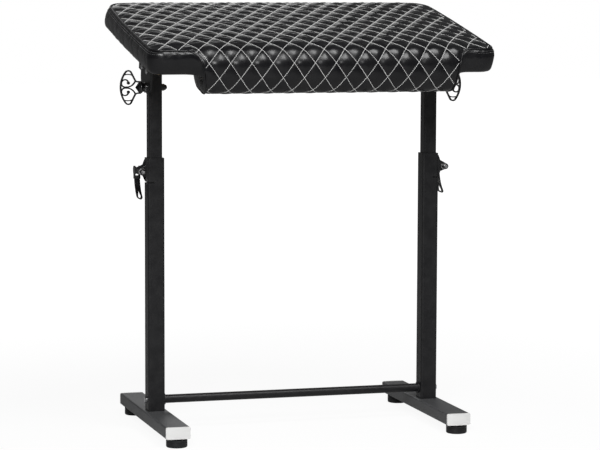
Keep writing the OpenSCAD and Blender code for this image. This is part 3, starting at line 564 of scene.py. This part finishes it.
def addWalls(pad, settings):
    cells = padSettings["fineCells"]
    keys = seamLoop(pad)
    seam = [pad.points[pad.known[key]] for key in keys]
    wallRows = 2 * cells
    rows = [Vector(point) for point in alongPath(wallProfile, np.linspace(0, 1, wallRows + 1))]
    rows += [Vector(point) for point in hemProfile]
    onFront = [index for index, key in enumerate(keys) if key[0] == cells]
    fronts = {"left": [index for index in onFront if index < len(keys) // 2 and keys[index][1] != "left"],
              "right": [index for index in onFront if index > len(keys) // 2 and keys[index][1] != "right"]}
    outward = []
    for index in range(len(seam)):
        before, after = seam[max(index - 1, 0)], seam[min(index + 1, len(seam) - 1)]
        along = Vector((after[0] - before[0], after[1] - before[1])).normalized()
        outward.append(Vector((along[1], -along[0])))
    if outward[0][1] > 0:
        outward = [-side for side in outward]
    outward[0] = outward[-1] = Vector((0, -1))
    seamInset, hemInset = wallProfile[0][0], hemProfile[-1][0]
    ids = [[pad.known[key] for key in keys]]
    for row, (inset, w) in enumerate(rows[1:], 1):
        placed = []
        for index, point in enumerate(seam):
            reach = seamInset - inset
            x, v = point[0] + outward[index][0] * reach, point[1] + outward[index][1] * reach
            if point[1] > padSettings["centre"]:
                drawnIn = 1 - settings["cornerPull"] * abs(outward[index][0] * outward[index][1])
                hem = hemPlace(point) + outward[index] * ((hemInset - inset) * drawnIn)
                low = easeStep(*settings["lowRows"], row)
                x, v = x + (hem[0] - x) * low, v + (hem[1] - v) * low
            placed.append(Vector((x, v, w)))
        for side, sign in (("left", -1), ("right", 1)):
            members = fronts[side]
            if side == "left":
                members = members[::-1]
            # members run from the wing's corner to the front roll
            joinKey = (cells + row, side)
            start = placed[members[0]]
            if row <= wallRows:
                end = pad.points[pad.known[joinKey]]
            else:
                rollEnd = pad.points[pad.known[(cells + wallRows, side)]][0]
                footX, footV, footW = settings["joinFoot"]
                if row == wallRows + 1:
                    end = Vector((sign * footX + rollEnd, footV, footW))
                else:
                    end = Vector((rollEnd, start[1], w))
            swing = min(settings["swing"], abs(start[0] - end[0]) * settings["swingShare"])
            swing *= easeStep(*settings["swingRows"], row)
            path = [(start[0], start[1])]
            depth = end[1] - start[1]
            for angle in np.linspace(0, math.pi / 2, settings["swingSteps"]):
                across = end[0] + sign * swing * (1 - math.sin(angle))
                path.append((across, start[1] + depth * (1 - math.cos(angle))))
            shares = [step / (len(members) - 1) for step in range(len(members))]
            for share, member, (x, v) in zip(shares, members, alongPath(path, shares)):
                level = easeStep(settings["levelFrom"], 1, share)
                placed[member] = Vector((x, v, start[2] + (end[2] - start[2]) * level))
        ids.append([])
        for index, key in enumerate(keys):
            atJoin = index in (0, len(keys) - 1)
            side = "left" if index == 0 else "right"
            if atJoin and row <= wallRows:
                ids[-1].append(pad.known[(cells + row, side)])
            else:
                ids[-1].append(pad.add(("wall", row, index), placed[index], 0.0, row >= wallRows))
    for upper, lower in zip(ids, ids[1:]):
        for index in range(len(keys) - 1):
            pad.face(upper[index], lower[index], lower[index + 1], upper[index + 1])
    return keys, ids


baseSettings = {
    "skinRows": 12,
    "endRings": 8,
    "endBulge": 4.5,
}


def addBase(pad, ids, settings):
    # the roll's two ends, and the inner skin that lies on the board
    cells = padSettings["fineCells"]
    wallRows = 2 * cells
    last = cells * padSettings["dropRows"]
    steps, endRings, bulge = settings["skinRows"], settings["endRings"], settings["endBulge"]
    hemLow, hemHigh = hemProfile[0][1], hemProfile[-1][1]
    backColumns = sorted(key[1] for key in pad.known if key[0] == last and isinstance(key[1], int))
    backKeys = [(last, "left")] + [(last, column) for column in backColumns] + [(last, "right")]
    back = [pad.known[key] for key in backKeys]
    hemEnds = (ids[wallRows + 2][0], ids[wallRows + 2][-1])
    inner = [back]
    for step in range(1, steps + 1):
        line = []
        for index, corner in enumerate(back):
            across = index / (len(back) - 1)
            start = pad.points[corner]
            left, right = (pad.points[end] for end in hemEnds)
            target = Vector((left[0] + (right[0] - left[0]) * across, left[1], hemLow))
            if step == steps and index in (0, len(back) - 1):
                line.append(hemEnds[0] if index == 0 else hemEnds[1])
            else:
                line.append(pad.add(("inner", step, index), start.lerp(target, step / steps)))
        inner.append(line)
    front = []
    for index, corner in enumerate(inner[-1]):
        if index in (0, len(back) - 1):
            front.append(ids[wallRows + 3][0 if index == 0 else -1])
        else:
            point = pad.points[corner]
            front.append(pad.add(("lip", index), (point[0], point[1], hemHigh)))
    inner.append(front)
    for upper, lower in zip(inner, inner[1:]):
        for index in range(len(back) - 1):
            pad.face(upper[index], lower[index], lower[index + 1], upper[index + 1])
    pad.faces.append(list(ids[wallRows + 3]) + front[::-1][1:-1])
    for side, sign, end in (("left", -1, 0), ("right", 1, -1)):
        rim = [pad.known[(line, side)] for line in range(cells + wallRows, last + 1)]
        rim += [line[end] for line in inner[1:steps + 1]]
        rim.append(ids[wallRows + 1][end])
        centre = sum((pad.points[corner] for corner in rim), Vector()) / len(rim)
        rings = [rim]
        for ring in range(1, endRings):
            share = ring / endRings
            rings.append([])
            for index, corner in enumerate(rim):
                point = pad.points[corner].lerp(centre, share)
                point[0] += sign * bulge * math.sqrt(1 - (1 - share) ** 2)
                rings[-1].append(pad.add((side, ring, index), point, 0.0, False))
        tip = pad.add((side, "tip"), centre + Vector((sign * bulge, 0, 0)), 0.0, False)
        for outer, within in zip(rings, rings[1:]):
            for index in range(len(rim)):
                pad.face(outer[index - 1], outer[index], within[index], within[index - 1])
        for index in range(len(rim)):
            pad.face(rings[-1][index - 1], rings[-1][index], tip)


def makePad():
    pad = PadMesh()
    addQuilt(pad)
    keys, ids = addWalls(pad, wallSettings)
    addBase(pad, ids, baseSettings)
    cover = addMesh("padCover", [padPlace(point) for point in pad.points], pad.faces,
                    madeFinishes["padLeather"], "pad")
    work = bmesh.new()
    work.from_mesh(cover.data)
    # the skin on top of the board is one face, with a corner at each point of the hem
    boardSkin = [face for face in work.faces if len(face.verts) > 8]
    bmesh.ops.triangulate(work, faces=boardSkin)
    bmesh.ops.recalc_face_normals(work, faces=work.faces)
    work.normal_update()
    openEdges = sum(1 for edge in work.edges if not edge.is_manifold)
    print("pad cover:", len(work.verts), "points,", len(work.faces), "faces, open edges", openEdges)
    normals = [vertex.normal.copy() for vertex in work.verts]
    work.to_mesh(cover.data)
    work.free()
    for vertex, normal, puff in zip(cover.data.vertices, normals, pad.puffs):
        vertex.co += normal * puff * padSettings["puff"] * mm
    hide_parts("pad_cushion")
    return pad, cover, keys, ids


# The leather is held at its stitches and swells between them like the real foam-filled cover.
swellSettings = {
    "frames": 12,
    "pressure": 30,
    "pointMass": 0.02,
    "stretch": 8.0,
    "shear": 4.0,
    "bend": 0.2,
    "quality": 4,
    "spare": 0.03,  # how much more leather there is than the span between the stitches
    "cap": 1.6,  # furthest that a point may move, in mm
    "capShares": (0.3, 0.7),  # of the cap, everywhere and with the puff
    "wallCap": 0.8,
}


def swellPad(pad, cover, settings):
    mesh = cover.data
    sewn = np.empty(len(mesh.vertices) * 3)
    mesh.vertices.foreach_get("co", sewn)
    sewn = sewn.reshape(-1, 3)
    swelling = bpy.data.objects.new("swelling", mesh.copy())
    bpy.context.collection.objects.link(swelling)
    stitched = swelling.vertex_groups.new(name="stitched")
    stitched.add([index for index, pinned in enumerate(pad.pinned) if pinned], 1.0, "REPLACE")
    cloth = swelling.modifiers.new("swell", "CLOTH")
    leather = cloth.settings
    leather.quality = settings["quality"]
    leather.mass = settings["pointMass"]
    leather.tension_stiffness = leather.compression_stiffness = settings["stretch"]
    leather.shear_stiffness = settings["shear"]
    leather.bending_stiffness = settings["bend"]
    leather.vertex_group_mass = "stitched"
    leather.shrink_min = -settings["spare"]
    leather.use_pressure = True
    leather.uniform_pressure_force = settings["pressure"]
    leather.effector_weights.gravity = 0
    cloth.collision_settings.use_collision = False
    for number in range(1, settings["frames"] + 1):
        bpy.context.scene.frame_set(number)
    result = swelling.evaluated_get(bpy.context.evaluated_depsgraph_get()).to_mesh()
    swollen = np.empty(len(result.vertices) * 3)
    result.vertices.foreach_get("co", swollen)
    bpy.context.scene.frame_set(1)
    moved = swollen.reshape(-1, 3) - sewn
    reach = np.linalg.norm(moved, axis=1)
    puffs = np.array(pad.puffs)
    everywhere, withPuff = settings["capShares"]
    caps = np.where(puffs > 0, settings["cap"] * (everywhere + withPuff * puffs), settings["wallCap"]) * mm
    scale = caps * np.tanh(reach / caps) / np.maximum(reach, 1e-9)
    mesh.vertices.foreach_set("co", (sewn + moved * scale[:, None]).ravel())
    mesh.update()
    bpy.data.objects.remove(swelling)
    print("pad swollen by up to", round(float(reach.max() / mm), 1), "mm, kept to", settings["cap"])


pad, padCover, seamKeys, wallIds = makePad()
swellPad(pad, padCover, swellSettings)
smoothing = padCover.modifiers.new("smoothing", "SUBSURF")
smoothing.levels = smoothing.render_levels = 1
smoothing.use_limit_surface = False
print("pad cover sewn")


# The stitches are single threads that dip into the leather at both ends.
# The seams of the quilt run past the front edge and down the roll, as far as lastRow.
stitchSettings = {
    "pitch": 3.5,
    "length": 3.15,
    "radius": 0.55,
    "sides": 5,
    "edgeGap": 2.5,
    "rearGap": 0.06,  # in rows
    "lastRow": 5.2,
    "step": 0.04,
    "numbers": (-16, 16),  # of the seams in one direction
    "wings": (0.93, -257, 270),  # past these to the left and right, the stitches end at this row
}
topstitchSettings = {
    "pitch": 3.4,
    "length": 2.7,
    "radius": 0.34,
    "sides": 4,
    "below": (5.5, 9.0),  # from the top seam, along the wall
    "wallRows": 9,  # enough rows of the wall to reach the lower line
}


def quiltLines(settings):
    # both families of seams, as lists of points on the pad before it is puffed
    lines = []
    firstRow = settings["rearGap"] - padSettings["rearRows"]
    rows = [float(row) for row in np.arange(firstRow, settings["lastRow"], settings["step"])]
    wingRow, leftWing, rightWing = settings["wings"]
    for slope in (-0.5, 0.5):
        for number in range(*settings["numbers"]):
            line = []
            for row in rows:
                diamond = float(np.interp(row, *padSettings["pitch"]))
                x = padSettings["middle"] + diamond * (number + slope * row)
                left, right = sheetEdges(row)
                onWingSeam = wingRow < row <= 1 and (x < leftWing or x > rightWing)
                if left + settings["edgeGap"] < x < right - settings["edgeGap"] and not onWingSeam:
                    line.append(padPlace(sheetPoint(x, row)))
                elif line:
                    lines.append(line)
                    line = []
            lines.append(line)
    return [line for line in lines if len(line) > 3]


def stitchAlong(lines, settings, surface):
    # threads laid end to end on the surface, as one mesh
    half, radius, sides = settings["length"] / 2 * mm, settings["radius"] * mm, settings["sides"]
    # the rings of a thread, as shares of its half length and of its radius
    profile = ((-0.78, 0.55), (0, 0.95), (0.78, 0.55))
    dip = 0.5
    points, faces = [], []
    for line in lines:
        path = np.array(line)
        steps = np.concatenate(([0], np.cumsum(np.linalg.norm(np.diff(path, axis=0), axis=1))))
        count = int(steps[-1] / (settings["pitch"] * mm))
        for number in range(count):
            reach = (number + 0.5) * steps[-1] / count
            middle = Vector([np.interp(reach, steps, path[:, axis]) for axis in range(3)])
            ahead = Vector([np.interp(reach + half, steps, path[:, axis]) for axis in range(3)])
            behind = Vector([np.interp(reach - half, steps, path[:, axis]) for axis in range(3)])
            place, normal, _, _ = surface.find_nearest(middle)
            along = ahead - behind
            along = (along - normal * along.dot(normal)).normalized()
            side = normal.cross(along)
            first = len(points)
            points.append(place - along * half - normal * radius * dip)
            for share, lift in profile:
                centre = place + along * half * share + normal * radius * lift
                for step in range(sides):
                    angle = math.tau * step / sides
                    points.append(centre + (side * math.cos(angle) + normal * math.sin(angle)) * radius)
            points.append(place + along * half - normal * radius * dip)
            last = len(points) - 1
            for step in range(sides):
                after = (step + 1) % sides
                faces.append((first, first + 1 + after, first + 1 + step))
                for ring in range(2):
                    start = first + 1 + ring * sides
                    faces.append((start + step, start + after, start + sides + after, start + sides + step))
                start = first + 1 + 2 * sides
                faces.append((start + step, start + after, last))
    return points, faces


def wallLines(pad, ids, settings):
    # lines that follow the top seam on the side wall
    lines = []
    for below in settings["below"]:
        line = []
        for index in range(len(ids[0])):
            column = [padPlace(pad.points[row[index]]) for row in ids[:settings["wallRows"]]]
            steps = np.concatenate(([0], np.cumsum([(b - a).length for a, b in zip(column, column[1:])])))
            line.append(Vector([np.interp(below * mm, steps, [point[axis] for point in column])
                                for axis in range(3)]))
        lines.append(line)
    return lines


def sewPad(pad, ids, cover):
    surface = BVHTree.FromObject(cover, bpy.context.evaluated_depsgraph_get())
    for name, lines, settings, finish in (
        ("quiltStitches", quiltLines(stitchSettings), stitchSettings, "seamThread"),
        ("wallTopstitch", wallLines(pad, ids, topstitchSettings), topstitchSettings, "darkThread"),
    ):
        points, faces = stitchAlong(lines, settings, surface)
        addMesh(name, points, faces, madeFinishes[finish], "pad")
        print(name, len(faces), "faces")


sewPad(pad, wallIds, padCover)


# Piping runs in the top seam and down both ends of the front roll.
pipingSettings = {
    "radius": 1.7,
    "sides": 8,
    "outward": 0.9,
    "spacing": 4.0,
    "tucked": 6,  # mesh rows at the roll's foot that have none
    "rollEnds": (-257, 270),
    "rollTop": 112,  # below this the piping faces sideways
}


def tubeAlong(path, radius, sides):
    # a round tube, whose rings turn as little as they can
    count = len(path)
    points, faces = [], []
    side = None
    for index, place in enumerate(path):
        before, after = path[max(index - 1, 0)], path[min(index + 1, count - 1)]
        along = (after - before).normalized()
        if side is None:
            side = along.orthogonal()
        side = (side - along * side.dot(along)).normalized()
        up = along.cross(side)
        for step in range(sides):
            angle = math.tau * step / sides
            points.append(place + (side * math.cos(angle) + up * math.sin(angle)) * radius)
    for index in range(count - 1):
        first, second = index * sides, (index + 1) * sides
        for step in range(sides):
            after = (step + 1) % sides
            faces.append((first + step, first + after, second + after, second + step))
    faces.append(tuple(range(sides))[::-1])
    faces.append(tuple(range((count - 1) * sides, count * sides)))
    return points, faces


def makePiping(pad, keys, settings):
    cells = padSettings["fineCells"]
    last = cells * padSettings["dropRows"] - settings["tucked"]
    route = [pad.points[pad.known[(line, "left")]] for line in range(last, cells, -1)]
    route += [pad.points[pad.known[key]] for key in keys]
    route += [pad.points[pad.known[(line, "right")]] for line in range(cells + 1, last + 1)]
    leftEnd, rightEnd = settings["rollEnds"]
    smooth = []
    for point in route:
        if point[1] < 0 and leftEnd < point[0] < rightEnd and point[2] < settings["rollTop"]:
            away = Vector((math.copysign(1, point[0]), 0, 0))
        else:
            fromCentre = point[1] - padSettings["centre"]
            away = Vector((point[0] / padSettings["sideSeam"], fromCentre / padSettings["halfDepth"], 0))
        smooth.append(point + away.normalized() * settings["outward"])
    length = sum((b - a).length for a, b in zip(smooth, smooth[1:]))
    even = alongPath([tuple(point) for point in smooth], np.linspace(0, 1, int(length / settings["spacing"])))
    points, faces = tubeAlong([padPlace(point) for point in even], settings["radius"] * mm, settings["sides"])
    addMesh("seamPiping", points, faces, madeFinishes["padLeather"], "pad")


makePiping(pad, seamKeys, pipingSettings)
print("pad stitched and piped")


# White floor and surroundings, with soft lamps overhead, behind the stand and at its front left.
# The black surfaces mirror the lamps, and see little of the white round them.
setSettings = {
    "floorSize": 14,
    "floor": 0.55,
    "floorStrength": 1.1,
    "floorGlow": 0.84,
    "fade": (0.6, 3.0),  # from the middle of the stand
    "mirroredGlow": 0.04,  # how much of the floor's glow the other surfaces mirror
    "surroundings": 0.13,  # how brightly the white surroundings light the stand
    "lamps": (  # name, place, what it points at, width in metres and power in watts
        ("overhead", (0.4, -1.3, 2.4), (0, 0, 0.6), 1.0, 26),
        ("behind", (0.6, 3.6, 1.72), (0, 0, 0.75), 1.55, 5.8),
        ("frontFill", (-1.5, -4.0, 2.7), (0, 0, 0.5), 1.6, 130),
    ),
}


def makeFloor(settings):
    size = settings["floorSize"]
    mesh = bpy.data.meshes.new("floor")
    corners = [(-size, -size, 0), (size, -size, 0), (size, size, 0), (-size, size, 0)]
    mesh.from_pydata(corners, [], [(0, 1, 2, 3)])
    floor = bpy.data.objects.new("floor", mesh)
    bpy.context.collection.objects.link(floor)
    finish = bpy.data.materials.new("studioFloor")
    finish.use_nodes = True
    tree = finish.node_tree
    shader = tree.nodes["Principled BSDF"]
    shader.inputs["Base Color"].default_value = (settings["floor"],) * 3 + (1,)
    shader.inputs["Roughness"].default_value = 0.9
    shader.inputs["Specular IOR Level"].default_value = 0
    glow = tree.nodes.new("ShaderNodeEmission")
    glow.inputs["Strength"].default_value = settings["floorStrength"]
    apart = tree.nodes.new("ShaderNodeVectorMath")
    apart.operation = "LENGTH"
    tree.links.new(tree.nodes.new("ShaderNodeTexCoord").outputs["Object"], apart.inputs[0])
    farGlow = tree.nodes.new("ShaderNodeMapRange")  # the floor fades into the white surroundings
    farGlow.inputs["From Min"].default_value, farGlow.inputs["From Max"].default_value = settings["fade"]
    farGlow.inputs["To Min"].default_value = settings["floorGlow"]
    farGlow.inputs["To Max"].default_value = 1
    tree.links.new(apart.outputs["Value"], farGlow.inputs["Value"])
    seen = tree.nodes.new("ShaderNodeLightPath")
    mirrored = tree.nodes.new("ShaderNodeMath")
    mirrored.operation = "MAXIMUM"
    tree.links.new(seen.outputs["Is Glossy Ray"], mirrored.inputs[0])
    tree.links.new(seen.outputs["Is Transmission Ray"], mirrored.inputs[1])
    dimmed = tree.nodes.new("ShaderNodeMath")
    dimmed.operation = "MULTIPLY"
    dimmed.inputs[1].default_value = settings["mirroredGlow"]
    tree.links.new(mirrored.outputs[0], dimmed.inputs[0])
    share = tree.nodes.new("ShaderNodeMath")
    share.operation = "MULTIPLY_ADD"
    tree.links.new(farGlow.outputs["Result"], share.inputs[1])
    tree.links.new(seen.outputs["Is Camera Ray"], share.inputs[0])
    tree.links.new(dimmed.outputs[0], share.inputs[2])
    blend = tree.nodes.new("ShaderNodeMixShader")
    tree.links.new(share.outputs[0], blend.inputs["Fac"])
    tree.links.new(shader.outputs["BSDF"], blend.inputs[1])
    tree.links.new(glow.outputs["Emission"], blend.inputs[2])
    tree.links.new(blend.outputs["Shader"], tree.nodes["Material Output"].inputs["Surface"])
    mesh.materials.append(finish)


def makeWorld(settings):
    world = bpy.data.worlds.new("studio")
    world.use_nodes = True
    tree = world.node_tree
    light = tree.nodes["Background"]
    light.inputs["Color"].default_value = (1, 1, 1, 1)
    light.inputs["Strength"].default_value = settings["surroundings"]
    white = tree.nodes.new("ShaderNodeBackground")
    white.inputs["Color"].default_value = (1, 1, 1, 1)
    white.inputs["Strength"].default_value = 1
    seen = tree.nodes.new("ShaderNodeLightPath")
    either = tree.nodes.new("ShaderNodeMath")
    either.operation = "MAXIMUM"
    tree.links.new(seen.outputs["Is Camera Ray"], either.inputs[0])
    tree.links.new(seen.outputs["Is Transmission Ray"], either.inputs[1])
    blend = tree.nodes.new("ShaderNodeMixShader")
    tree.links.new(either.outputs[0], blend.inputs["Fac"])
    tree.links.new(light.outputs["Background"], blend.inputs[1])
    tree.links.new(white.outputs["Background"], blend.inputs[2])
    tree.links.new(blend.outputs["Shader"], tree.nodes["World Output"].inputs["Surface"])
    bpy.context.scene.world = world


def addLamps(settings):
    for name, place, aim, size, power in settings["lamps"]:
        data = bpy.data.lights.new(name, "AREA")
        data.shape = "DISK"
        data.size = size
        data.energy = power
        lamp = bpy.data.objects.new(name, data)
        lamp.location = place
        lamp.visible_camera = False
        lamp.rotation_euler = (Vector(aim) - Vector(place)).to_track_quat("-Z", "Y").to_euler()
        bpy.context.collection.objects.link(lamp)


makeFloor(setSettings)
makeWorld(setSettings)
addLamps(setSettings)
bpy.context.scene.view_settings.view_transform = "Standard"
print("set lit")
